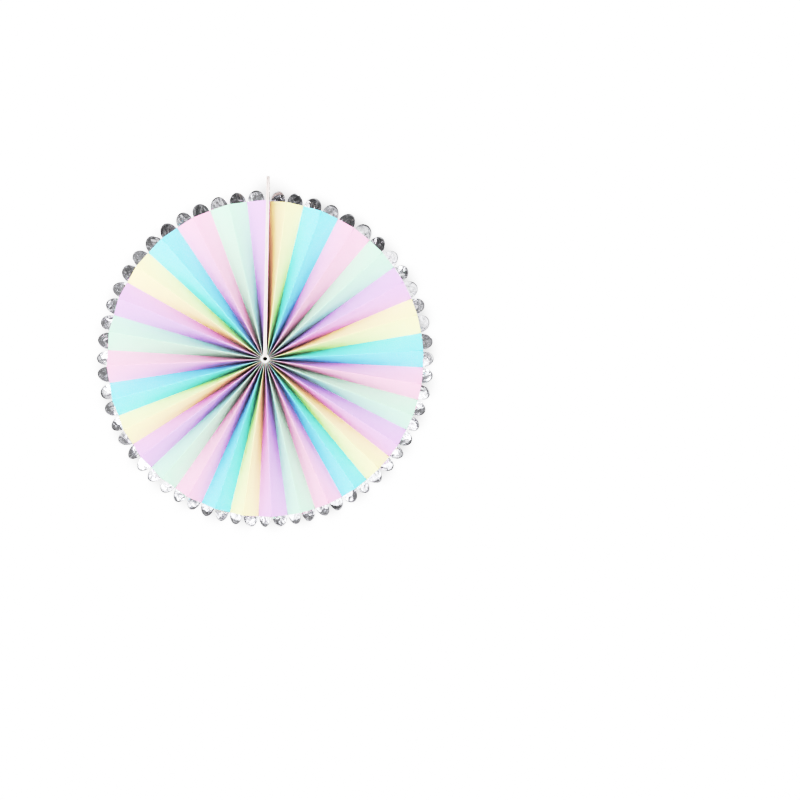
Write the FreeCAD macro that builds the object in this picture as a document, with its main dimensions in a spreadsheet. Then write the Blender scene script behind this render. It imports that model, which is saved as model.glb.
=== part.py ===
"""Paper fan rosette: one long pleated strip, opened into a disc between two end cards.

Millimetres. +Z is up and the front faces -Y, as the rosette hangs. The origin is the centre of
the hang hole, so the disc's hub lies below it. Each piece is made about the hub and then lowered.
"""
import FreeCAD, Part
import Sketcher
import math
import os
from types import SimpleNamespace

FRONT = FreeCAD.Vector(0, -1, 0)
UP = FreeCAD.Vector(0, 0, 1)

DRIVING_SIZES = [
    ("scallop_reach", 150.0, "hub to the tips of the scalloped edge"),
    ("tab_length", 12.6, "how far the cards' tab stands beyond the scallops"),
    ("card_width", 20.0, "front to back depth of the cards and the closed pleats"),
    ("card_thick", 1.2, "each end card"),
    ("tape_thick", 0.2, "double-sided tape between the cards"),
    ("tape_margin", 1.0, "how far the tape stays in from the cards' edges"),
    ("paper_thick", 0.11, "the pleated paper"),
    ("hub_packing", 1.1, "pitch of the pleats at the hub, in paper thicknesses"),
    ("pleat_opening", 117.0, "degrees between two panels at the rim, where the fan opens widest"),
    ("opening_spread", 0.132, "how much wider the pleats open beside the tab than opposite it"),
    ("opening_lag", 0.026, "radians by which the right card holds back the first pleat"),
    ("scallop_shoulder", 0.9, "straight edge left on each side of a scallop"),
    ("scallop_rise", 0.3, "straight sides of a scallop before its round"),
    ("hang_bore", 3.5, "diameter of the hole in the tab"),
    ("hang_inset", 6.0, "centre of the hang hole below the tab's tip"),
    ("thread_ring", 5.0, "radius of the thread's loop round the hub"),
    ("thread_width", 0.5, "width and thickness of the flat binding thread"),
    ("thread_hole", 1.1, "width of the holes punched for the thread"),
]

DERIVED_SIZES = [
    ("panel_width", "card_width - paper_thick", "fold to fold, on the middle of the paper"),
    ("scallop_round", "panel_width / 2 - scallop_shoulder", "radius of a scallop"),
    ("rim_radius", "scallop_reach - scallop_rise - scallop_round", "outer ends of the folds"),
    ("tab_tip", "scallop_reach + tab_length", "hub to the tip of the tab"),
    ("hub_drop", "tab_tip - hang_inset", "hub below the hang hole"),
    ("card_face", "tape_thick / 2 + card_thick", "outer face of each card from the middle"),
    ("widest_pitch", "panel_width * sin(pleat_opening / 2)", "between neighbouring folds"),
    ("open_pairs", "round(pi * rim_radius * (1 + opening_spread) / widest_pitch - 0.5)", "pleats"),
    ("open_panels", "2 * open_pairs + 1", "panels between the cards, an odd number"),
    ("hub_radius", "open_panels * paper_thick * hub_packing / (2 * pi) + (card_face + paper_thick) / 2",
     "inner ends of the folds, with room for every panel side by side"),
    ("card_foot", "sqrt(hub_radius ^ 2 - card_face ^ 2)", "inner end of the cards"),
]

FOLD_STEPS = 7
END_BAND = 1.0
PUNCH_SIDES = 24
SEAM_ROUNDS = 40
SHORT_STEP = 0.01
FLATNESS = 1e-7

# Where the strips' sketches are first drawn, before their sizes are tied
DRAWN_SIDE = 10
DRAWN_FOOT = 1
DRAWN_ROUND = 150
DRAWN_HANG = 155
DRAWN_THREAD = 5


def make_sheet(doc):
    """The driving sizes as plain numbers, and the sizes that follow from them as formulas."""
    sheet = doc.addObject("Spreadsheet::Sheet", "sizes")
    rows = [(name, str(value), note) for name, value, note in DRIVING_SIZES]
    rows += [(name, "=" + formula, note) for name, formula, note in DERIVED_SIZES]
    for number, (name, content, note) in enumerate(rows, start=1):
        sheet.set(f"A{number}", name)
        sheet.set(f"B{number}", content)
        sheet.set(f"C{number}", note)
        sheet.setAlias(f"B{number}", name)
    doc.recompute()
    return sheet


def read_sizes(sheet):
    """Every size of the sheet by its name."""
    names = [row[0] for row in DRIVING_SIZES + DERIVED_SIZES]
    return SimpleNamespace(**{name: float(sheet.get(name)) for name in names})


def in_plan(across, up, depth=0.0):
    """A point from its place on the disc, seen from the front, and its height towards the front."""
    return FreeCAD.Vector(across, -depth, up)


class FoldPlan:
    """Where each fold runs: straight when seen from the front, from the hub out to the rim."""

    def __init__(self, sizes):
        self.sizes = sizes
        self.count = int(sizes.open_panels) + 1
        self.flat = sizes.paper_thick * sizes.hub_packing
        for _ in range(SEAM_ROUNDS):
            self.seam = sizes.card_face + (sizes.paper_thick + self.flat) / 2
            ring = 2 * math.pi - 2 * math.asin(self.seam / sizes.hub_radius)
            self.flat = sizes.hub_radius * ring / sizes.open_panels

    def angle(self, fold, radius, spread=0.0, lag=0.0):
        """Clockwise angle of a fold's end from the tab, closer together away from the tab.

        The lag builds up over the first pleat and is made up by the pleats that follow.
        """
        start = math.asin(self.seam / radius)
        share = fold / self.sizes.open_panels
        turn = 2 * math.pi * share
        held = lag * min(fold / 2, 1) * (1 - share)
        return start + turn * (1 - start / math.pi) + spread * math.sin(turn) - held

    def ends(self, fold):
        """Inner and outer end of a fold in plan."""
        inner, outer = self.sizes.hub_radius, self.sizes.rim_radius
        hub_angle = self.angle(fold, inner)
        rim_angle = self.angle(fold, outer, self.sizes.opening_spread, self.sizes.opening_lag)
        start = in_plan(inner * math.sin(hub_angle), inner * math.cos(hub_angle))
        finish = in_plan(outer * math.sin(rim_angle), outer * math.cos(rim_angle))
        return start, finish

    def centre(self, fold, share):
        """The middle of a fold in plan, at a share of its length."""
        start, finish = self.ends(fold)
        return start + (finish - start) * share

    def sideways(self, fold):
        """The direction across a fold in plan, clockwise round the hub."""
        start, finish = self.ends(fold)
        along = (finish - start).normalize()
        return FreeCAD.Vector(along.z, 0, -along.x)

    def height(self, fold, share):
        """How far a fold stands to the front: the wider the pleats open, the shallower they are.

        The first fold keeps to the cards' back edges and the last to their front edges, so the
        pleats between them drift from back to front round the disc.
        """
        width = self.sizes.panel_width
        here = self.centre(fold, share)
        beside = [near for near in (fold - 1, fold + 1) if 0 <= near < self.count]
        gaps = [(self.centre(near, share) - here).Length - self.flat for near in beside]
        depth = math.sqrt(width ** 2 - (sum(gaps) / len(gaps)) ** 2)
        drift = 2 * fold / (self.count - 1) - 1
        side = 1 if fold % 2 else -1
        return drift * (width - depth) / 2 + side * depth / 2

    def corner(self, fold, share, hand):
        """One edge of a fold's blunt crest on the middle of the paper: hand -1 or 1."""
        middle = self.centre(fold, share) + FRONT * self.height(fold, share)
        return middle + self.sideways(fold) * (hand * self.flat / 2)


class Panel:
    """One flat-sided strip of paper between two folds, or between a fold and the sheet's end.

    Panel 0 lies against the right card and the last one against the left card.
    """

    def __init__(self, plan, number):
        self.plan = plan
        self.number = number
        self.half = plan.sizes.paper_thick / 2

    def middle_line(self, share):
        """Both ends of the panel's cross-section on the middle of the paper."""
        plan, number = self.plan, self.number
        reach = plan.sizes.card_width / 2 + plan.sizes.panel_width / 2
        if number == 0:
            right = plan.corner(0, share, -1)
            return right + FRONT * reach, right
        if number == plan.count:
            left = plan.corner(plan.count - 1, share, 1)
            return left, left - FRONT * reach
        return plan.corner(number - 1, share, 1), plan.corner(number, share, -1)

    def frame(self, share):
        """Directions across and along the panel, and square to its front face."""
        left, right = self.middle_line(share)
        left_out, right_out = self.middle_line(share + SHORT_STEP)
        across = (right - left).normalize()
        along = (left_out + right_out - left - right).normalize()
        facing = across.cross(along).normalize()
        return across, along, facing

    def edge_point(self, share, hand, side):
        """A corner of the panel's section: hand -1 left or 1 right, side -1 back or 1 front."""
        point = self.middle_line(share)[(hand + 1) // 2]
        facing = self.frame(share)[2]
        fold = self.number - 1 if hand < 0 else self.number
        if not 0 <= fold < self.plan.count:
            return point + facing * (side * self.half)
        sideways = self.plan.sideways(fold)
        mitre = (1 - facing.dot(FRONT)) / facing.dot(sideways)
        return point + (FRONT + sideways * mitre) * (side * self.half)


def facets(points):
    """A flat face through the points, or two where four of them do not lie in one plane."""
    if len(points) == 4:
        lift = (points[1] - points[0]).cross(points[2] - points[0])
        if abs(lift.dot(points[3] - points[0])) > FLATNESS * lift.Length:
            return facets(points[:3]) + facets([points[0], points[2], points[3]])
    return [Part.Face(Part.makePolygon(points + points[:1]))]


def strip(left, right):
    """Facets between two rows of points."""
    faces = []
    for step in range(len(left) - 1):
        faces += facets([left[step], right[step], right[step + 1], left[step + 1]])
    return faces


class Outline:
    """The points and faces of one panel, with its scalloped end."""

    def __init__(self, panel, shares):
        self.panel = panel
        self.across, self.along, self.facing = panel.frame(shares[-1])
        self.rows = {}
        for hand in (-1, 1):
            for side in (-1, 1):
                row = [panel.edge_point(share, hand, side) for share in shares]
                row.append(row[-1] + self.along * END_BAND)
                self.rows[hand, side] = row

    def scallop(self, side):
        """The scallop's outline on one side: a line, an arc and a line, from left to right."""
        sizes = self.panel.plan.sizes
        left, right = self.rows[-1, 1][-1], self.rows[1, 1][-1]
        base = (left + right) / 2 + self.facing * ((side - 1) * self.panel.half)
        reach = self.across * sizes.scallop_round
        rise = self.along * sizes.scallop_rise
        round_middle = base + rise
        tip = round_middle + self.along * sizes.scallop_round
        arc = Part.Arc(round_middle - reach, tip, round_middle + reach)
        return [
            Part.LineSegment(base - reach, round_middle - reach).toShape(),
            arc.toShape(),
            Part.LineSegment(round_middle + reach, base + reach).toShape(),
        ]

    def end_face(self, side):
        """The flat end of the panel with its scallop, on one side of the paper."""
        edges = self.scallop(side)
        foot_left = edges[0].firstVertex().Point
        foot_right = edges[-1].lastVertex().Point
        left, right = self.rows[-1, side], self.rows[1, side]
        path = [foot_right, right[-1], right[-2], left[-2], left[-1], foot_left]
        lines = [Part.LineSegment(a, b).toShape() for a, b in zip(path, path[1:])]
        return Part.Face(Part.Wire(edges + lines))

    def faces(self):
        """Both sides of the panel, its inner end and its scalloped edge."""
        faces = []
        for side in (-1, 1):
            faces += strip(self.rows[-1, side][:-1], self.rows[1, side][:-1])
            faces.append(self.end_face(side))
        rows = self.rows
        faces += facets([rows[-1, -1][0], rows[1, -1][0], rows[1, 1][0], rows[-1, 1][0]])
        front, back = self.scallop(1), self.scallop(-1)
        faces += [edge.extrude(self.facing * (-2 * self.panel.half)) for edge in front]
        foot = {-1: (front[0].firstVertex().Point, back[0].firstVertex().Point),
                1: (front[-1].lastVertex().Point, back[-1].lastVertex().Point)}
        for hand in (-1, 1):
            faces += facets([rows[hand, 1][-1], foot[hand][0], foot[hand][1], rows[hand, -1][-1]])
        return faces

    def closing_strip(self, hand):
        """The long cut edge of the sheet, on its first and last panel."""
        return strip(self.rows[hand, -1], self.rows[hand, 1])


def crest_faces(left, right):
    """The blunt crest between two panels: both sides of the paper and its two ends."""
    faces = []
    for side in (-1, 1):
        faces += strip(left.rows[1, side], right.rows[-1, side])
    for end in (0, -1):
        faces += facets([left.rows[1, -1][end], right.rows[-1, -1][end],
                         right.rows[-1, 1][end], left.rows[1, 1][end]])
    return faces


def fold_stations(sizes):
    """Shares of the folds' length where the panels are drawn, closer where the folds bend more."""
    last_share = 1 - END_BAND / (sizes.rim_radius - sizes.hub_radius)
    sweep = math.radians(sizes.pleat_opening / 2)
    turns = [sweep * step / FOLD_STEPS for step in range(FOLD_STEPS + 1)]
    return [last_share * math.sin(turn) / math.sin(sweep) for turn in turns]


def punch_disc(radius, depth):
    """A many-sided disc about the hub, centred front to back."""
    corners = []
    for side in range(PUNCH_SIDES + 1):
        turn = 2 * math.pi * side / PUNCH_SIDES
        corners.append(in_plan(radius * math.sin(turn), radius * math.cos(turn), -depth / 2))
    return Part.Face(Part.makePolygon(corners)).extrude(FRONT * depth)


def thread_punch(sizes):
    """A ring about the hub, which cuts one square hole for the thread in every panel."""
    half = sizes.thread_hole / 2
    corner_reach = 1 / math.cos(math.pi / PUNCH_SIDES)
    outer = punch_disc((sizes.thread_ring + half) * corner_reach, sizes.thread_hole)
    inner = punch_disc(sizes.thread_ring - half, 2 * sizes.thread_hole)
    return outer.cut(inner)


def pleated_sheet(sizes):
    """The whole sheet as one solid, with the thread's holes punched through every panel."""
    plan = FoldPlan(sizes)
    shares = fold_stations(sizes)
    outlines = [Outline(Panel(plan, number), shares) for number in range(plan.count + 1)]
    faces = outlines[0].closing_strip(-1) + outlines[-1].closing_strip(1)
    for outline in outlines:
        faces += outline.faces()
    for left, right in zip(outlines, outlines[1:]):
        faces += crest_faces(left, right)
    shell = Part.Shell(faces)
    shell.sewShape()
    solid = Part.Solid(shell)
    if solid.Volume < 0:
        solid.reverse()
    return solid.cut(thread_punch(sizes)).Solids[0]


def add_fan(doc, sizes):
    """The pleated paper. No feature folds a sheet, so its faces are laid and sewn."""
    fan = doc.addObject("Part::Feature", "pleated_fan")
    fan.Shape = pleated_sheet(sizes)
    return fan


def tie(sketch, constraint, name, formula):
    """Adds a named size to a sketch and ties it to the sheet."""
    number = sketch.addConstraint(constraint)
    sketch.renameConstraint(number, name)
    sketch.setExpression("Constraints." + name, formula)


def add_hole(sketch, name, height, diameter, drawn_height):
    """A round hole on the strip's middle line, at a height above the hub."""
    centre = FreeCAD.Vector(0, drawn_height, 0)
    hole = sketch.addGeometry(Part.Circle(centre, FreeCAD.Vector(0, 0, 1), 1))
    sketch.addConstraint(Sketcher.Constraint("PointOnObject", hole, 3, -2))
    tie(sketch, Sketcher.Constraint("DistanceY", -1, 1, hole, 3, drawn_height), name + "_up", height)
    tie(sketch, Sketcher.Constraint("Diameter", hole, 2), name + "_across", diameter)


def draw_strip(sketch, width, foot, tip):
    """A strip that stands on its foot above the hub and ends in a half round."""
    side, low, high = DRAWN_SIDE, DRAWN_FOOT, DRAWN_ROUND
    line = Part.LineSegment
    bottom = sketch.addGeometry(line(FreeCAD.Vector(-side, low, 0), FreeCAD.Vector(side, low, 0)))
    right = sketch.addGeometry(line(FreeCAD.Vector(side, low, 0), FreeCAD.Vector(side, high, 0)))
    full = Part.Circle(FreeCAD.Vector(0, high, 0), FreeCAD.Vector(0, 0, 1), side)
    top = sketch.addGeometry(Part.ArcOfCircle(full, 0, math.pi))
    left = sketch.addGeometry(line(FreeCAD.Vector(-side, high, 0), FreeCAD.Vector(-side, low, 0)))
    sketch.addConstraint(Sketcher.Constraint("Coincident", bottom, 2, right, 1))
    sketch.addConstraint(Sketcher.Constraint("Tangent", right, 2, top, 1))
    sketch.addConstraint(Sketcher.Constraint("Tangent", top, 2, left, 1))
    sketch.addConstraint(Sketcher.Constraint("Coincident", left, 2, bottom, 1))
    sketch.addConstraint(Sketcher.Constraint("Vertical", right))
    sketch.addConstraint(Sketcher.Constraint("Vertical", left))
    sketch.addConstraint(Sketcher.Constraint("Symmetric", bottom, 1, bottom, 2, -2))
    tie(sketch, Sketcher.Constraint("DistanceX", bottom, 1, bottom, 2, 2 * side), "width", width)
    tie(sketch, Sketcher.Constraint("DistanceY", -1, 1, bottom, 2, low), "foot", foot)
    tie(sketch, Sketcher.Constraint("DistanceY", -1, 1, top, 3, high), "round", tip)


def add_strip(doc, name, inset, thickness, inner_face):
    """A strip of board or tape on the seam: its outline stays in from the cards' by the inset."""
    body = doc.addObject("PartDesign::Body", name)
    sketch = body.newObject("Sketcher::SketchObject", name + "_outline")
    side_plane = [f for f in body.Origin.OriginFeatures if f.Role == "YZ_Plane"][0]
    sketch.AttachmentSupport = (side_plane, "")
    sketch.MapMode = "FlatFace"
    draw_strip(sketch, f"sizes.card_width - 2 * ({inset})", f"sizes.card_foot + {inset}",
               "sizes.tab_tip - sizes.card_width / 2")
    add_hole(sketch, "hang", "sizes.hub_drop", "sizes.hang_bore", DRAWN_HANG)
    add_hole(sketch, "thread", "sizes.thread_ring", "sizes.thread_hole", DRAWN_THREAD)
    pad = body.newObject("PartDesign::Pad", name + "_thickness")
    pad.Profile = sketch
    pad.setExpression("Length", thickness)
    body.Tip = pad
    body.setExpression(".Placement.Base.x", inner_face)
    return body


def add_thread(doc):
    """The flat binding thread's loop through every panel, as a cylinder less a smaller one."""
    outer = doc.addObject("Part::Cylinder", "thread_outside")
    outer.setExpression("Radius", "sizes.thread_ring + sizes.thread_width / 2")
    outer.setExpression("Height", "sizes.thread_width")
    inner = doc.addObject("Part::Cylinder", "thread_inside")
    inner.setExpression("Radius", "sizes.thread_ring - sizes.thread_width / 2")
    inner.setExpression("Height", "sizes.thread_width")
    thread = doc.addObject("Part::Cut", "binding_thread")
    thread.Base = outer
    thread.Tool = inner
    thread.Placement.Rotation = FreeCAD.Rotation(UP, FRONT)
    thread.setExpression(".Placement.Base.y", "sizes.thread_width / 2")
    return thread


def lower_to_hub(piece):
    """Brings a piece from the hub's own frame to its place below the hang hole."""
    piece.setExpression(".Placement.Base.z", "-sizes.hub_drop")


def check_document(doc):
    """Stops if any object failed to compute."""
    for item in doc.Objects:
        if "Invalid" in item.State or "Error" in item.State:
            raise RuntimeError(f"{item.Name} failed: {item.State}")


def check_piece(piece):
    """Stops unless the piece is one sound solid."""
    shape = piece.Shape
    if shape.isNull() or not shape.isValid() or len(shape.Solids) != 1:
        raise RuntimeError(f"{piece.Label} is not one sound solid")


def main():
    """Builds the rosette and writes one file for each piece."""
    os.makedirs("parts", exist_ok=True)
    doc = FreeCAD.newDocument("paper_fan_rosette")
    sheet = make_sheet(doc)
    sizes = read_sizes(sheet)
    pieces = [
        add_fan(doc, sizes),
        add_strip(doc, "left_end_card", "0", "sizes.card_thick", "-sizes.card_face"),
        add_strip(doc, "right_end_card", "0", "sizes.card_thick", "sizes.tape_thick / 2"),
        add_strip(doc, "adhesive_strip", "sizes.tape_margin", "sizes.tape_thick",
                  "-sizes.tape_thick / 2"),
        add_thread(doc),
    ]
    for piece in pieces:
        lower_to_hub(piece)
        piece.Label = piece.Name
    doc.recompute()
    check_document(doc)
    for piece in pieces:
        check_piece(piece)
    for piece in pieces:
        piece.Shape.exportStep(f"parts/{piece.Label}.step")
        box = piece.Shape.BoundBox
        print(piece.Label, f"{piece.Shape.Volume:.1f} mm3", box)


main()
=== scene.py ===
"""Looks of a hanging paper fan rosette: printed pleats, a foil edge, board ends, tape and thread."""

import math
import random

import bmesh
import bpy
from mathutils import Matrix, Vector


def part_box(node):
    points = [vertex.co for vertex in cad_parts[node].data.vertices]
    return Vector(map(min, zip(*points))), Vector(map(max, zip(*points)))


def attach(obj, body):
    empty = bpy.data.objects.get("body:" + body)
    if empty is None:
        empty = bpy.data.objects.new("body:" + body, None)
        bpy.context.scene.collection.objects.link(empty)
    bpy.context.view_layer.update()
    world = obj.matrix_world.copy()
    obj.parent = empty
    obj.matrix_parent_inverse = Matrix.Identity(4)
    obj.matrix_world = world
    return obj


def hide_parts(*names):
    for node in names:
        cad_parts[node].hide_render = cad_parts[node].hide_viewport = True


MM = 0.001
FRONT = Vector((0, -1, 0))

# Sizes of the paper, as the part is made
PAPER_THICK = 0.11 * MM
HUB_PACKING = 1.1
PANEL_COUNT = 61
OPENING_SPREAD = 0.132
OPENING_LAG = 0.026
SCALLOP_REACH = 150 * MM
SCALLOP_SHOULDER = 0.9 * MM
SCALLOP_RISE = 0.3 * MM
THREAD_HOLE = 1.1 * MM
THREAD_WIDTH = 0.5 * MM

# How many rounds settle the gap that the cards keep open between the first and last folds
SEAM_ROUNDS = 40

# The folds' crests, crowded into a collar round the hub and springing open past it
COLLAR_RADIUS = 3.6 * MM
COLLAR_EDGE = 0.4 * MM
COLLAR_GAP = 0.02 * MM
BEAD_WIDTH = 0.16 * MM
BEAD_END = 40 * MM

# How finely the paper is drawn, and how much closer its rows lie near the hub
LENGTH_STEPS = 20
SCALLOP_COLUMNS = 12
SCALLOP_ROWS = 6
CREASE_SUPPORT = 0.012
ROW_BUNCHING = 0.9

# The sheet's finishes, in the order of its material slots
PRINT, FOIL, CORE = range(3)

# How uneven the folding is: a panel bows most a little past half its length
RIM_ANGLE_SLIP = math.radians(0.36)
RIM_HEIGHT_SLIP = 0.7 * MM
PANEL_BOW = 0.6 * MM
BOW_RANGE = (-0.6, 1.0)
BOW_SWEEP = 2.6
SCALLOP_CURL = 1.1 * MM

# The photograph's view
PHOTO_PIXELS = 800
HUB_PIXEL = (265.4, 358.7)
METRES_PER_PIXEL = 0.89 * MM
CAMERA_DISTANCE = 3.0
CAMERA_ROLL = math.radians(0.9)
SENSOR = 36

# The wall close behind, with painted shade where the rosette is near it and a painted shadow behind
# the hub, and the floor
WALL_GAP = 12 * MM
WALL_HALF = 3
HALO_REACH = 22 * MM
HALO_SHADE = 0.45
COVERED_SHADE = 0.3
HOLE_SHADE = 0.01
FLOOR_DROP = 0.75
FLOOR_HALF = 4

# The studio: scene light on the left, the share of full white that it shows as on the right
ROOM_LIGHT = 0.68
TONES = [(0.06, 0.015), (0.11, 0.055), (0.16, 0.12), (0.25, 0.26), (0.30, 0.345), (0.36, 0.48),
         (0.42, 0.60), (0.54, 0.73), (0.72, 0.845)]
WHITE_TONE = 0.945
WALL_LIGHT = 1.2

# The lamps: name, place from the hub, width, power and whether the foil mirrors them
LAMPS = [
    ("key_lamp", (-0.35, -1.6, 0.4), 0.9, 9.7, True),
    ("front_fill", (0.35, -1.6, -0.2), 0.9, 5.6, True),
    ("side_lamp", (-1.3, -0.8, 0), 1.2, 4.3, False),
    ("side_lamp", (1.3, -0.8, 0), 1.2, 1.9, False),
    ("side_lamp", (0, -0.8, 1.3), 1.2, 2.2, False),
    ("side_lamp", (0, -0.8, -1.3), 1.2, 4.0, False),
    ("back_lamp", (0.6, 1.4, 0.9), 0.9, 14, True),
]

# What the foil mirrors: a patchy room, and places in it by direction, reach and brightness
ROOM_PATCHES = (0.27, 1.0)
MIRRORED_CORE = 0.3
MIRRORED_PLACES = [
    ((0.92, -0.2, 0.34), 0.64, 0.17),
    ((-0.91, -0.2, 0.36), 0.64, 0.17),
    ((-0.60, -0.2, -0.77), 0.45, 0.25),
    ((0.72, -0.3, -0.64), 0.50, 1.5),
]

# Inputs and output of a Mix node that mixes colours, and the curve of all colours together
MIX_INPUTS = (0, 6, 7)
MIX_RESULT = 2
COMBINED_CURVE = 3

random.seed(61)
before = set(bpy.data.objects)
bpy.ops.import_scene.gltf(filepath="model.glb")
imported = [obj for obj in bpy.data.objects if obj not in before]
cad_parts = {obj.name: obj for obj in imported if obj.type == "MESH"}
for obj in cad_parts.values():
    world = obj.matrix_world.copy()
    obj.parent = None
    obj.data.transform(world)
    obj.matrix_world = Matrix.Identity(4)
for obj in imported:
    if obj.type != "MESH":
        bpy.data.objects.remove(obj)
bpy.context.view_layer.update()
card_low, card_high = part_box("right_end_card")
thread_low, thread_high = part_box("binding_thread")
hub = (thread_low + thread_high) / 2
CARD_FACE = card_high.x
CARD_WIDTH = card_high.y - card_low.y
THREAD_RING = (thread_high.x - thread_low.x) / 2 - THREAD_WIDTH / 2
PANEL_WIDTH = CARD_WIDTH - PAPER_THICK
SCALLOP_ROUND = PANEL_WIDTH / 2 - SCALLOP_SHOULDER
RIM_RADIUS = SCALLOP_REACH - SCALLOP_RISE - SCALLOP_ROUND
OPEN_PANELS = PANEL_COUNT - 2
HUB_RADIUS = OPEN_PANELS * PAPER_THICK * HUB_PACKING / (2 * math.pi) + (CARD_FACE + PAPER_THICK) / 2


class FoldPlan:
    """Where each fold runs, as in the part: straight from the front, closer together at the foot."""

    def __init__(self):
        self.count = PANEL_COUNT - 1
        self.flat = PAPER_THICK * HUB_PACKING
        for _ in range(SEAM_ROUNDS):
            self.seam = CARD_FACE + (PAPER_THICK + self.flat) / 2
            ring = 2 * math.pi - 2 * math.asin(self.seam / HUB_RADIUS)
            self.flat = HUB_RADIUS * ring / OPEN_PANELS
        inner = range(1, self.count - 1)
        self.slips = {fold: random.uniform(-1, 1) for fold in inner}
        self.lifts = {fold: random.uniform(-1, 1) for fold in inner}
        self.lines = [self.ends(fold) for fold in range(self.count)]

    def angle(self, fold, radius, spread=0.0, lag=0.0):
        """Clockwise angle of a fold's end from the tab."""
        start = math.asin(self.seam / radius)
        share = fold / OPEN_PANELS
        turn = 2 * math.pi * share
        held = lag * min(fold / 2, 1) * (1 - share)
        return start + turn * (1 - start / math.pi) + spread * math.sin(turn) - held

    def ends(self, fold):
        """Inner and outer end of a fold in plan, from the hub."""
        hub_angle = self.angle(fold, HUB_RADIUS)
        rim_angle = self.angle(fold, RIM_RADIUS, OPENING_SPREAD, OPENING_LAG)
        rim_angle += RIM_ANGLE_SLIP * self.slips.get(fold, 0)
        start = Vector((math.sin(hub_angle), 0, math.cos(hub_angle))) * HUB_RADIUS
        finish = Vector((math.sin(rim_angle), 0, math.cos(rim_angle))) * RIM_RADIUS
        return start, finish

    def centre(self, fold, share):
        """The middle of a fold in plan, at a share of its length."""
        start, finish = self.lines[fold]
        return start + (finish - start) * share

    def spacing(self, fold, share):
        """The mean distance in plan from a fold to the ones beside it."""
        here = self.centre(fold, share)
        beside = [near for near in (fold - 1, fold + 1) if 0 <= near < self.count]
        gaps = [(self.centre(near, share) - here).length for near in beside]
        return sum(gaps) / len(gaps)

    def height(self, fold, share):
        """How far a fold stands to the front of the middle."""
        depth = math.sqrt(PANEL_WIDTH ** 2 - (self.spacing(fold, share) - self.flat) ** 2)
        drift = 2 * fold / (self.count - 1) - 1
        side = 1 if fold % 2 else -1
        slip = -side * abs(self.lifts.get(fold, 0)) * RIM_HEIGHT_SLIP * share ** 2
        return drift * (PANEL_WIDTH - depth) / 2 + side * depth / 2 + slip

    def sideways(self, fold):
        """The direction across a fold, to its right."""
        start, finish = self.lines[fold]
        along = (finish - start).normalized()
        return Vector((along.z, 0, -along.x))

    def corner(self, fold, share, hand):
        """One edge of a fold's blunt crest: hand -1 left or 1 right."""
        middle = self.centre(fold, share) + FRONT * self.height(fold, share)
        return middle + self.sideways(fold) * (hand * self.flat / 2)

    def bead(self, fold, share):
        """How far a crest bulges to each side, past its blunt edge."""
        radius = HUB_RADIUS + (RIM_RADIUS - HUB_RADIUS) * share
        if radius < COLLAR_RADIUS + COLLAR_EDGE / 2:
            crowded = 2 * self.spacing(fold, share) - PAPER_THICK - COLLAR_GAP
            return max(crowded - self.flat, 0) / 2
        fade = max(1 - radius / BEAD_END, 0)
        return (BEAD_WIDTH - self.flat) / 2 * fade


def panel_section(plan, number, share):
    """Left and right end of a panel's section at a share of the folds' length."""
    reach = (CARD_WIDTH + PANEL_WIDTH) / 2
    if number == 0:
        right = plan.corner(0, share, -1)
        return right + FRONT * reach, right
    if number == plan.count:
        left = plan.corner(plan.count - 1, share, 1)
        return left, left - FRONT * reach
    return plan.corner(number - 1, share, 1), plan.corner(number, share, -1)


def panel_stations():
    """Shares of a panel's width where the sheet has a column, and the scallop's first and last."""
    shoulder = SCALLOP_SHOULDER / PANEL_WIDTH
    hole = THREAD_HOLE / PANEL_WIDTH / 2
    turns = [math.pi * step / SCALLOP_COLUMNS for step in range(SCALLOP_COLUMNS + 1)]
    round_part = [0.5 - (0.5 - shoulder) * math.cos(turn) for turn in turns]
    middle = SCALLOP_COLUMNS // 2
    round_part[middle:middle + 1] = [0.5 - hole, 0.5 + hole]
    left_edge = [0.0, CREASE_SUPPORT]
    right_edge = [1 - CREASE_SUPPORT, 1.0]
    first = len(left_edge)
    return left_edge + round_part + right_edge, first, first + len(round_part) - 1


def length_shares():
    """Shares of the folds' length where the sheet has a row, and the row where the holes begin."""
    length = RIM_RADIUS - HUB_RADIUS
    collar = [COLLAR_RADIUS, COLLAR_RADIUS + COLLAR_EDGE]
    hole = [THREAD_RING - THREAD_HOLE / 2, THREAD_RING + THREAD_HOLE / 2]
    rows = [(radius - HUB_RADIUS) / length for radius in [HUB_RADIUS] + collar + hole]
    last = rows[-1]
    steps = LENGTH_STEPS - len(hole)
    rows += [last + (1 - last) * (step / steps) ** ROW_BUNCHING for step in range(1, steps + 1)]
    return rows, 1 + len(collar)


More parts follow.
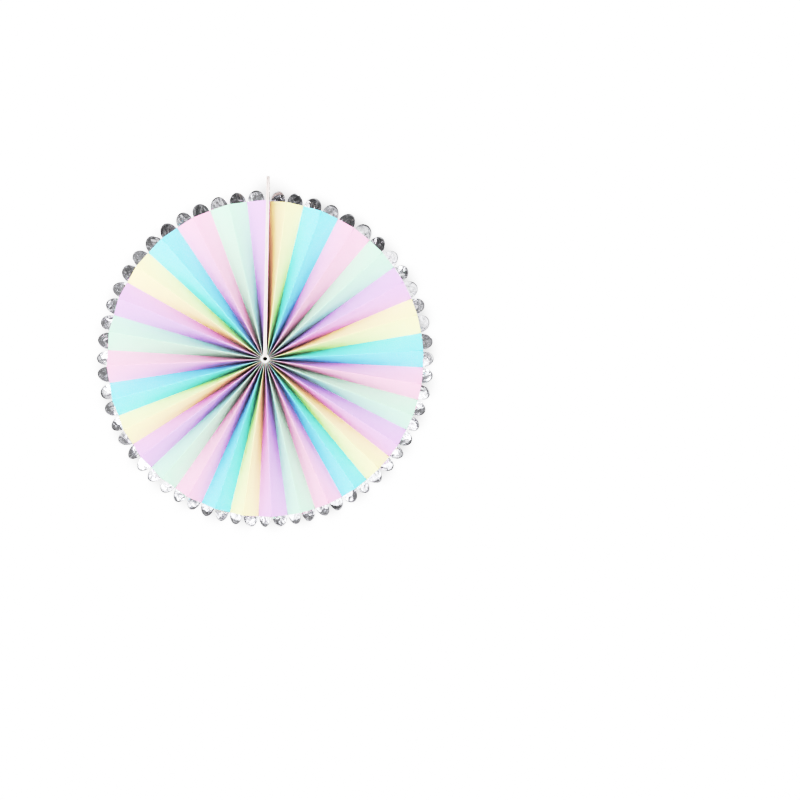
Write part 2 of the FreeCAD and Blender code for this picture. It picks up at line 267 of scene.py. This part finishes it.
class FoldedSheet:
    """The paper as a flat grid that is folded column by column."""

    def __init__(self):
        self.plan = FoldPlan()
        self.stations, self.first, self.last = panel_stations()
        self.shares, self.hole_row = length_shares()
        self.columns = PANEL_COUNT * len(self.stations)
        self.rows = len(self.shares) + SCALLOP_ROWS
        self.bows = [random.uniform(*BOW_RANGE) for _ in range(PANEL_COUNT)]
        self.curls = [(random.uniform(-1, 1), random.uniform(-1, 1)) for _ in range(PANEL_COUNT)]
        self.sections = [[panel_section(self.plan, number, share) for share in self.shares]
                         for number in range(PANEL_COUNT)]

    def place(self, column, row):
        """Where a point of the flat grid lies once folded, and its place on the flat sheet."""
        number, station = divmod(column, len(self.stations))
        across_share = self.stations[station]
        sections = self.sections[number]
        edge = len(self.shares) - 1
        left, right = sections[min(row, edge)]
        before = sections[min(row, edge) - 1] if row else sections[1]
        across = (right - left).normalized()
        along = (left + right - before[0] - before[1]).normalized() * (1 if row else -1)
        facing = across.cross(along).normalized()
        share = self.shares[min(row, edge)]
        glued = number in (0, PANEL_COUNT - 1)
        bow = 0 if glued else self.bows[number] * PANEL_BOW * math.sin(math.pi * across_share)
        point = left + (right - left) * across_share + facing * (bow * math.sin(share * BOW_SWEEP))
        point += self.bulge(number, station, share)
        beyond = 0.0
        if row > edge:
            offset = (across_share - 0.5) * PANEL_WIDTH
            profile = SCALLOP_RISE + math.sqrt(max(SCALLOP_ROUND ** 2 - offset ** 2, 0))
            beyond = profile * (row - edge) / SCALLOP_ROWS
            curl, twist = (0, 0) if glued else self.curls[number]
            bend = curl + twist * offset / SCALLOP_ROUND
            point += along * beyond + facing * (SCALLOP_CURL * bend * (beyond / SCALLOP_ROUND) ** 2)
        flat_length = share * (RIM_RADIUS - HUB_RADIUS) + beyond
        return hub + point, (number + across_share, flat_length / PANEL_WIDTH)

    def bulge(self, number, station, share):
        """How a point beside a fold moves, where the fold's crest bulges."""
        if station < self.first and number > 0:
            return self.plan.sideways(number - 1) * self.plan.bead(number - 1, share)
        if station > self.last and number < self.plan.count:
            return -self.plan.sideways(number) * self.plan.bead(number, share)
        return Vector()

    def unwanted(self, column, row):
        """Whether the grid's face beyond this corner is outside the scallops or a thread's hole."""
        station = column % len(self.stations)
        if row >= len(self.shares) - 1:
            return not self.first <= station < self.last
        return row == self.hole_row and station == (self.first + self.last) // 2


def make_sheet():
    """The pleated paper with its foil scallops, folded from one flat grid."""
    sheet = FoldedSheet()
    bm = bmesh.new()
    bmesh.ops.create_grid(bm, x_segments=sheet.columns - 1, y_segments=sheet.rows - 1, size=1)
    flat_map = bm.loops.layers.uv.new("flat_sheet")
    places = {}
    for vert in bm.verts:
        column = round((vert.co.x + 1) / 2 * (sheet.columns - 1))
        row = round((vert.co.y + 1) / 2 * (sheet.rows - 1))
        places[vert] = (column, row)
    spare = []
    for face in bm.faces:
        corners = [places[vert] for vert in face.verts]
        column = min(corner[0] for corner in corners)
        row = min(corner[1] for corner in corners)
        if sheet.unwanted(column, row):
            spare.append(face)
        face.material_index = FOIL if row >= len(sheet.shares) - 1 else PRINT
        face.smooth = True
    folded = {vert: sheet.place(*place) for vert, place in places.items()}
    for face in bm.faces:
        for loop in face.loops:
            loop[flat_map].uv = folded[loop.vert][1]
    bmesh.ops.delete(bm, geom=spare, context="FACES")
    for vert in bm.verts:
        vert.co = folded[vert][0]
    return finish_mesh(bm, "striped_paper_pleats")


def finish_mesh(bm, name):
    """A new object from a bmesh."""
    mesh = bpy.data.meshes.new(name)
    bm.to_mesh(mesh)
    bm.free()
    piece = bpy.data.objects.new(name, mesh)
    bpy.context.scene.collection.objects.link(piece)
    return piece


class Nodes:
    """Short ways to build a node tree: sockets are linked, anything else is set as a value."""

    def __init__(self, tree):
        self.tree = tree
        tree.nodes.clear()

    def add(self, kind, inputs=None, **settings):
        node = self.tree.nodes.new(kind)
        for key, value in settings.items():
            setattr(node, key, value)
        for key, value in (inputs or {}).items():
            if isinstance(value, bpy.types.NodeSocket):
                self.tree.links.new(value, node.inputs[key])
            else:
                node.inputs[key].default_value = value
        return node

    def math(self, operation, first, second=0.0, clamp=False):
        node = self.add("ShaderNodeMath", {0: first, 1: second}, operation=operation)
        node.use_clamp = clamp
        return node.outputs[0]

    def ramp(self, value, low, high, start=0.0, end=1.0):
        node = self.add("ShaderNodeMapRange", {
            "Value": value, "From Min": low, "From Max": high, "To Min": start, "To Max": end,
        }, interpolation_type="SMOOTHSTEP")
        return node.outputs["Result"]

    def mix(self, factor, first, second, blend="MIX"):
        node = self.add("ShaderNodeMix", data_type="RGBA", blend_type=blend)
        for index, value in zip(MIX_INPUTS, (factor, first, second)):
            if isinstance(value, bpy.types.NodeSocket):
                self.tree.links.new(value, node.inputs[index])
            else:
                node.inputs[index].default_value = value
        return node.outputs[MIX_RESULT]


def material(name):
    """A new node material, its builder and its Principled shader, already wired to the output."""
    made = bpy.data.materials.new(name)
    made.use_nodes = True
    nodes = Nodes(made.node_tree)
    shader = nodes.add("ShaderNodeBsdfPrincipled")
    nodes.add("ShaderNodeOutputMaterial", {"Surface": shader.outputs[0]})
    return made, nodes, shader


def linear(red, green, blue):
    """A screen colour, 0 to 255, as the linear colour that nodes take."""
    parts = [part / 255 for part in (red, green, blue)]
    return tuple(c / 12.92 if c <= 0.04045 else ((c + 0.055) / 1.055) ** 2.4 for c in parts) + (1,)


YELLOW = linear(246, 237, 181)
BLUE = linear(145, 222, 240)
PINK = linear(246, 183, 215)
MINT = linear(187, 234, 208)
VIOLET = linear(217, 174, 232)
PAPER_WHITE = linear(240, 239, 236)


def fibre_group():
    """Fibres and grain that all the rosette's materials share: their pattern and their relief."""
    group = bpy.data.node_groups.new("paper_fibres", "ShaderNodeTree")
    for name, kind in (("Place", "NodeSocketVector"), ("Fineness", "NodeSocketFloat"),
                       ("Depth", "NodeSocketFloat")):
        group.interface.new_socket(name=name, in_out="INPUT", socket_type=kind)
    for name, kind in (("Fibres", "NodeSocketFloat"), ("Normal", "NodeSocketVector")):
        group.interface.new_socket(name=name, in_out="OUTPUT", socket_type=kind)
    nodes = Nodes(group)
    given = nodes.add("NodeGroupInput").outputs
    noise = nodes.add("ShaderNodeTexNoise", {
        "Vector": given["Place"], "Scale": given["Fineness"], "Detail": 3.0,
    })
    relief = nodes.add("ShaderNodeBump", {
        "Strength": 0.4, "Distance": given["Depth"], "Height": noise.outputs["Fac"],
    })
    nodes.add("NodeGroupOutput", {"Fibres": noise.outputs["Fac"], "Normal": relief.outputs[0]})
    return group


FIBRE_GROUP = fibre_group()


def fibres(nodes, place, fineness, depth):
    """The fibre pattern and its normal at one place, placed in a material."""
    node = nodes.add("ShaderNodeGroup", node_tree=FIBRE_GROUP)
    nodes.tree.links.new(place, node.inputs["Place"])
    node.inputs["Fineness"].default_value = fineness
    node.inputs["Depth"].default_value = depth
    return node.outputs["Fibres"], node.outputs["Normal"]


def stripe_colour(nodes, panel):
    """Five colours in turn, each on the two panels of one mountain fold."""
    colours = [YELLOW, BLUE, PINK, MINT, VIOLET]
    count = len(colours)
    stripe = nodes.math("FLOOR", nodes.math("MULTIPLY", nodes.math("ADD", panel, 1.0), 0.5))
    turn = nodes.math("MODULO", nodes.math("ADD", stripe, count - 0.5), count)
    ramp = nodes.add("ShaderNodeValToRGB", {"Fac": nodes.math("DIVIDE", turn, count)})
    ramp.color_ramp.interpolation = "CONSTANT"
    points = ramp.color_ramp.elements
    while len(points) < count:
        points.new(1.0)
    for number, colour in enumerate(colours):
        points[number].position = number / count
        points[number].color = colour
    return ramp.outputs["Color"]


def paper_material():
    """Matte printed paper: stripes, creases whitened near the hub as cracked ink and painted crest
    highlight, white at the hub, fibres and waves.
    """
    made, nodes, shader = material("printed_paper")
    flat = nodes.add("ShaderNodeUVMap", uv_map="flat_sheet").outputs[0]
    parts = nodes.add("ShaderNodeSeparateXYZ", {0: flat})
    across, along = parts.outputs[0], parts.outputs[1]
    place = nodes.add("ShaderNodeTexCoord").outputs["Object"]
    fibre, rough = fibres(nodes, place, 1500.0, 0.05 * MM)
    colour = stripe_colour(nodes, across)
    colour = nodes.mix(nodes.ramp(fibre, 0.35, 0.75, 0.0, 0.10), colour, PAPER_WHITE)
    # White along every fold near the hub: partly cracked ink, partly a painted highlight on the
    # crests
    wrap = nodes.math("FRACT", across)
    edge = nodes.math("MINIMUM", wrap, nodes.math("SUBTRACT", 1.0, wrap))
    reach = nodes.ramp(along, 0.0, 1.0, 0.16, 0.012)
    reach = nodes.math("MULTIPLY", reach, nodes.ramp(fibre, 0.3, 0.7, 0.7, 1.3))
    crack_and_crest_highlight = nodes.math("SUBTRACT", 1.0, nodes.math("DIVIDE", edge, reach), clamp=True)
    crack_and_crest_highlight = nodes.math("MULTIPLY", crack_and_crest_highlight, nodes.ramp(along, 0.3, 0.8, 1.0, 0.0))
    # The colour pales towards the hub, up to three tenths white
    paler_towards_hub = nodes.ramp(along, 0.3, 2.2, 0.3, 0.0)
    collar_white = nodes.ramp(along, 0.09, 0.13, 1.0, 0.0)
    white = nodes.math("MAXIMUM", nodes.math("MAXIMUM", crack_and_crest_highlight, paler_towards_hub), collar_white)
    colour = nodes.mix(white, colour, PAPER_WHITE)
    wave = nodes.add("ShaderNodeTexNoise", {"Vector": place, "Scale": 95.0, "Detail": 2.0})
    soft = nodes.add("ShaderNodeBump", {
        "Strength": 0.35, "Distance": 0.6 * MM, "Height": wave.outputs["Fac"], "Normal": rough,
    })
    nodes.tree.links.new(colour, shader.inputs["Base Color"])
    nodes.tree.links.new(nodes.ramp(fibre, 0.3, 0.7, 0.5, 0.62), shader.inputs["Roughness"])
    nodes.tree.links.new(soft.outputs[0], shader.inputs["Normal"])
    shader.inputs["Specular IOR Level"].default_value = 0.2
    return made


def foil_material():
    """Silver foil stamped on the scallops: bright, crumpled and finely grained."""
    made, nodes, shader = material("silver_foil")
    place = nodes.add("ShaderNodeTexCoord").outputs["Object"]
    grain, fine = fibres(nodes, place, 1800.0, 0.05 * MM)
    crumple = nodes.add("ShaderNodeTexNoise", {
        "Vector": place, "Scale": 160.0, "Detail": 1.5, "Distortion": 0.6,
    })
    tone = nodes.mix(nodes.ramp(grain, 0.35, 0.7), linear(226, 226, 228), linear(204, 204, 207))
    dents = nodes.add("ShaderNodeBump", {
        "Strength": 0.7, "Distance": 1.4 * MM, "Height": crumple.outputs["Fac"], "Normal": fine,
    })
    nodes.tree.links.new(tone, shader.inputs["Base Color"])
    nodes.tree.links.new(nodes.ramp(grain, 0.3, 0.75, 0.12, 0.26), shader.inputs["Roughness"])
    nodes.tree.links.new(dents.outputs[0], shader.inputs["Normal"])
    shader.inputs["Metallic"].default_value = 1.0
    return made


def fibrous_material(name, fineness, depth, pale, dark, roughness, stretch=(1.0, 1.0, 1.0)):
    """A plain material whose tone and relief come from its fibres alone."""
    made, nodes, shader = material(name)
    place = nodes.add("ShaderNodeTexCoord").outputs["Object"]
    drawn = nodes.add("ShaderNodeMapping", {"Vector": place, "Scale": stretch}).outputs[0]
    fibre, relief = fibres(nodes, drawn, fineness, depth)
    tone = nodes.mix(nodes.ramp(fibre, 0.35, 0.7), pale, dark)
    nodes.tree.links.new(tone, shader.inputs["Base Color"])
    nodes.tree.links.new(relief, shader.inputs["Normal"])
    shader.inputs["Roughness"].default_value = roughness
    return made


def core_material():
    """The white core of the paper on its cut edge."""
    return fibrous_material("paper_core", 3000.0, 0.03 * MM, PAPER_WHITE, linear(226, 222, 216), 0.8)


def board_material():
    """White board tinted pink as painted bounce light from the violet paper: smooth faces, and plies
    that show as lines along the cut edge.
    """
    # Painted bounce light: the board's own white is tinted pink
    return fibrous_material("white_board", 420.0, 0.08 * MM, linear(230, 218, 214),
                            linear(204, 191, 188), 0.7, stretch=(9.0, 1.0, 0.35))


def tape_material():
    """Double-sided tape: a thin cloudy film."""
    return fibrous_material("cloudy_tape", 300.0, 0.02 * MM, linear(214, 200, 176),
                            linear(188, 170, 142), 0.35)


def thread_material():
    """Waxed white cotton with a slanted ply."""
    made, nodes, shader = material("cotton_thread")
    place = nodes.add("ShaderNodeTexCoord").outputs["Object"]
    ply = nodes.add("ShaderNodeTexWave", {"Vector": place, "Scale": 900.0, "Distortion": 1.0})
    fibre, relief = fibres(nodes, place, 4000.0, 0.03 * MM)
    tone = nodes.mix(ply.outputs["Fac"], linear(238, 235, 228), linear(200, 195, 184))
    tone = nodes.mix(nodes.ramp(fibre, 0.4, 0.8, 0.0, 0.3), tone, PAPER_WHITE)
    nodes.tree.links.new(tone, shader.inputs["Base Color"])
    nodes.tree.links.new(relief, shader.inputs["Normal"])
    shader.inputs["Roughness"].default_value = 0.75
    return made


def dress(name, finish):
    """Gives one CAD node its finish."""
    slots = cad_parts[name].data.materials
    slots.clear()
    slots.append(finish)


def add_backdrop():
    """A white wall close behind the rosette: only the camera sees it, and only from the front. It
    glows, with painted shade near the rosette and a painted shadow behind the hub.
    """
    bm = bmesh.new()
    bmesh.ops.create_grid(bm, x_segments=1, y_segments=1, size=WALL_HALF)
    turn = Matrix.Rotation(math.radians(90), 4, "X")
    bmesh.ops.transform(bm, matrix=Matrix.Translation((0, WALL_GAP, hub.z)) @ turn, verts=bm.verts)
    wall = finish_mesh(bm, "white_wall")
    made = bpy.data.materials.new("wall_paint")
    made.use_nodes = True
    nodes = Nodes(made.node_tree)
    # Painted shade: the glowing wall is darkened where ambient occlusion finds the rosette close by
    near = nodes.add("ShaderNodeAmbientOcclusion", {"Distance": HALO_REACH}, samples=16)
    halo_painted_shade = nodes.ramp(near.outputs["AO"], 0.25, 0.95, HALO_SHADE, 1.0)
    contact_painted_shade = nodes.ramp(near.outputs["AO"], 0.0, 0.2, COVERED_SHADE, 1.0)
    # Painted shadow: a near-black disc on the wall behind the hub, seen through the hub's hole
    place = nodes.add("ShaderNodeTexCoord").outputs["Object"]
    behind_hub = (0, WALL_GAP, hub.z)
    aside = nodes.add("ShaderNodeVectorMath", {0: place, 1: behind_hub}, operation="DISTANCE")
    hole = nodes.ramp(aside.outputs["Value"], 2 * HUB_RADIUS, 4 * HUB_RADIUS, HOLE_SHADE, 1.0)
    shade = nodes.math("MULTIPLY", nodes.math("MULTIPLY", halo_painted_shade, contact_painted_shade), hole)
    paint = nodes.add("ShaderNodeEmission", {"Color": shade, "Strength": WALL_LIGHT})
    clear = nodes.add("ShaderNodeBsdfTransparent")
    rays = nodes.add("ShaderNodeLightPath")
    side = nodes.add("ShaderNodeNewGeometry")
    seen = nodes.math("MULTIPLY", rays.outputs["Is Camera Ray"],
                      nodes.math("SUBTRACT", 1.0, side.outputs["Backfacing"]))
    mixed = nodes.add("ShaderNodeMixShader", {0: seen, 1: clear.outputs[0], 2: paint.outputs[0]})
    nodes.add("ShaderNodeOutputMaterial", {"Surface": mixed.outputs[0]})
    wall.data.materials.append(made)


def add_floor():
    """A plain pale floor below the hanging rosette."""
    bm = bmesh.new()
    bmesh.ops.create_grid(bm, x_segments=1, y_segments=1, size=FLOOR_HALF)
    bmesh.ops.translate(bm, vec=(0, 0, -FLOOR_DROP), verts=bm.verts)
    floor = finish_mesh(bm, "pale_floor")
    floor.visible_glossy = False
    made, _, shader = material("pale_floor")
    shader.inputs["Base Color"].default_value = linear(244, 243, 241)
    shader.inputs["Roughness"].default_value = 0.9
    floor.data.materials.append(made)


def add_lamp(name, place, width, power, mirrored):
    """A soft square lamp that looks at the hub, seen in the foil or not."""
    lamp = bpy.data.lights.new(name, "AREA")
    lamp.shape = "SQUARE"
    lamp.size = width
    lamp.energy = power
    holder = bpy.data.objects.new(name, lamp)
    holder.location = place
    holder.rotation_euler = (hub - Vector(place)).to_track_quat("-Z", "Y").to_euler()
    holder.visible_glossy = mirrored
    bpy.context.scene.collection.objects.link(holder)


def room_glow():
    """Even pale light for the paper; the foil mirrors a pale room with dark and bright places."""
    world = bpy.data.worlds.new("pale_room")
    world.use_nodes = True
    nodes = Nodes(world.node_tree)
    way = nodes.add("ShaderNodeTexCoord").outputs["Generated"]
    patches = nodes.add("ShaderNodeTexNoise", {"Vector": way, "Scale": 4.0, "Detail": 1.0})
    mirrored = nodes.ramp(patches.outputs["Fac"], 0.36, 0.64, *ROOM_PATCHES)
    for centre, reach, level in MIRRORED_PLACES:
        gap = nodes.add("ShaderNodeVectorMath", {0: way, 1: centre}, operation="DISTANCE")
        near = nodes.ramp(gap.outputs["Value"], MIRRORED_CORE * reach, reach, 1.0, 0.0)
        change = nodes.math("MULTIPLY", near, nodes.math("SUBTRACT", level, mirrored))
        mirrored = nodes.math("ADD", mirrored, change)
    rays = nodes.add("ShaderNodeLightPath")
    glow = nodes.add("ShaderNodeBackground", {"Strength": ROOM_LIGHT})
    mirror = nodes.add("ShaderNodeBackground", {"Strength": mirrored})
    both = nodes.add("ShaderNodeMixShader", {
        0: rays.outputs["Is Glossy Ray"], 1: glow.outputs[0], 2: mirror.outputs[0],
    })
    nodes.add("ShaderNodeOutputWorld", {"Surface": both.outputs[0]})
    bpy.context.scene.world = world


def light_studio():
    """Broad lamps in front, weaker ones on the four sides, one behind, and the room's own glow."""
    for name, (across, back, up), width, power, mirrored in LAMPS:
        add_lamp(name, (across, back, hub.z + up), width, power, mirrored)
    room_glow()


def grade_picture():
    """The photograph's plain tones, with its deep shadows."""
    settings = bpy.context.scene.view_settings
    settings.view_transform = "Standard"
    settings.use_curve_mapping = True
    curve = settings.curve_mapping.curves[COMBINED_CURVE]
    for light, shown in TONES:
        curve.points.new(light, shown)
    curve.points[-1].location = (1.0, WHITE_TONE)
    settings.curve_mapping.update()


def add_camera():
    """The photograph's view: the hub at its pixel, the tab leaning clockwise."""
    camera = bpy.data.cameras.new("photo_camera")
    camera.sensor_width = SENSOR
    camera.lens = SENSOR * CAMERA_DISTANCE / (PHOTO_PIXELS * METRES_PER_PIXEL)
    right = Vector((math.cos(CAMERA_ROLL), 0, math.sin(CAMERA_ROLL)))
    over = Vector((-math.sin(CAMERA_ROLL), 0, math.cos(CAMERA_ROLL)))
    shift_x = (PHOTO_PIXELS / 2 - HUB_PIXEL[0]) * METRES_PER_PIXEL
    shift_z = (PHOTO_PIXELS / 2 - HUB_PIXEL[1]) * METRES_PER_PIXEL
    holder = bpy.data.objects.new("photo_camera", camera)
    place = hub + right * shift_x - over * shift_z - Vector((0, CAMERA_DISTANCE, 0))
    turn = Matrix((right, over, -Vector((0, 1, 0)))).transposed().to_4x4()
    holder.matrix_world = Matrix.Translation(place) @ turn
    bpy.context.scene.collection.objects.link(holder)
    bpy.context.scene.camera = holder


paper = make_sheet()
for finish in (paper_material(), foil_material(), core_material()):
    paper.data.materials.append(finish)
thickness = paper.modifiers.new("paper_thickness", "SOLIDIFY")
thickness.thickness = PAPER_THICK
thickness.offset = 0
thickness.material_offset_rim = CORE
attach(paper, "root")
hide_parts("pleated_fan")

board = board_material()
dress("left_end_card", board)
dress("right_end_card", board)
dress("adhesive_strip", tape_material())
dress("binding_thread", thread_material())

add_backdrop()
add_floor()
light_studio()
add_camera()
grade_picture()
